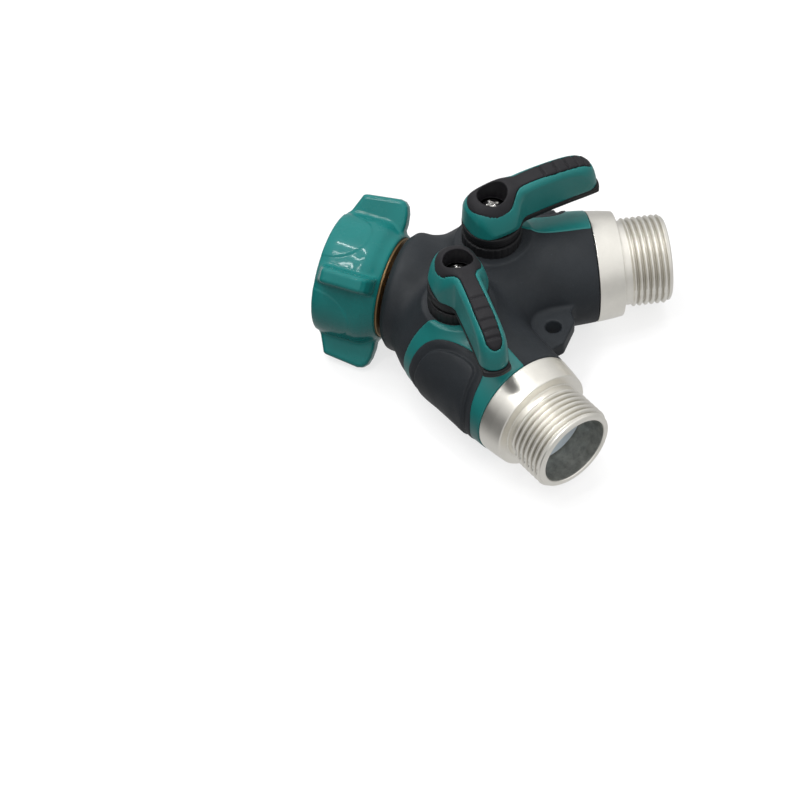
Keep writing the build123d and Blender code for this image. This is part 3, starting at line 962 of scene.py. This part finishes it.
def add_world():
    """Studio that is bright overhead and dark at the horizon, behind a pale backdrop."""
    world = bpy.data.worlds.new("studio")
    bpy.context.scene.world = world
    world.use_nodes = True
    tree = world.node_tree
    nodes, link = tree.nodes, tree.links.new
    height = nodes.new("ShaderNodeSeparateXYZ")
    direction = nodes.new("ShaderNodeTexCoord").outputs["Generated"]
    link(direction, height.inputs["Vector"])
    share = nodes.new("ShaderNodeMapRange")
    share.inputs["From Min"].default_value = -1.0
    link(height.outputs["Z"], share.inputs["Value"])
    rays = nodes.new("ShaderNodeLightPath")
    off_corner = nodes.new("ShaderNodeVectorMath")
    off_corner.operation = "DISTANCE"
    link(direction, off_corner.inputs[0])
    off_corner.inputs[1].default_value = DARK_CORNER
    strength = nodes.new("ShaderNodeMapRange")
    for name, value in (("From Min", 0.3), ("From Max", 0.75), ("To Min", 0.12), ("To Max", 1.0)):
        strength.inputs[name].default_value = value
    link(off_corner.outputs["Value"], strength.inputs["Value"])

    def by_height(stops):
        ramp = nodes.new("ShaderNodeValToRGB")
        for z, _ in stops[1:-1]:
            ramp.color_ramp.elements.new((z + 1) / 2)
        for element, (_, grey) in zip(ramp.color_ramp.elements, stops):
            element.color = (grey, grey, grey, 1)
        link(share.outputs["Result"], ramp.inputs["Fac"])
        background = nodes.new("ShaderNodeBackground")
        link(ramp.outputs["Color"], background.inputs["Color"])
        link(strength.outputs["Result"], background.inputs["Strength"])
        return background.outputs["Background"]

    def by_ray(kind, otherwise, shown):
        mix = nodes.new("ShaderNodeMixShader")
        link(rays.outputs[kind], mix.inputs["Fac"])
        link(otherwise, mix.inputs[1])
        link(shown, mix.inputs[2])
        return mix.outputs["Shader"]

    backdrop = nodes["Background"]
    backdrop.inputs["Color"].default_value = (BACKDROP, BACKDROP, BACKDROP, 1)
    studio = by_ray("Is Diffuse Ray", by_height(MIRRORED), by_height(LIGHTING))
    shader = by_ray("Is Camera Ray", studio, backdrop.outputs["Background"])
    link(shader, nodes["World Output"].inputs["Surface"])


def add_light():
    add_world()
    middle = (0, 0.05, 0)
    add_area_light("key", (-0.3, -0.25, 0.8), middle, (0.9, 0.9), 4.6)
    add_area_light("fill", (0.6, 0.6, 0.6), middle, (0.8, 0.8), 2.8)
    # Each strip is mirrored in the nut where its surface leans this many degrees from the top.
    strip_distance, strip_size, strip_power = 0.75, (0.19, 0.02), 0.65
    nut_middle = (0, 0.01, 0)
    camera_side = Vector(CAMERA_SIDE).normalized()
    for lean in (14, 22, 30):
        normal = Vector((math.sin(math.radians(lean)), 0, math.cos(math.radians(lean))))
        towards = 2 * normal.dot(camera_side) * normal - camera_side
        add_area_light(f"strip_{lean}", strip_distance * towards, nut_middle, strip_size, strip_power,
                       roll=90, mirrored=True)


def add_camera():
    """View from above the right-hand outlet, looking back towards the inlet nut."""
    place = Vector((0.5541, 0.2553, 0.6628))
    back = Vector(CAMERA_SIDE).normalized()
    up = Vector((-0.715, -0.272, 0.644))
    right = up.cross(back).normalized()
    up = back.cross(right)
    camera = bpy.data.cameras.new("camera")
    camera.lens, camera.sensor_width = 136.6, 36
    camera.clip_start = 0.01
    holder = bpy.data.objects.new("camera", camera)
    holder.matrix_world = Matrix.Translation(place) @ Matrix((right, up, back)).transposed().to_4x4()
    bpy.context.scene.collection.objects.link(holder)
    bpy.context.scene.camera = holder


add_floor()
add_light()
add_camera()
bpy.context.scene.view_settings.view_transform = "Standard"
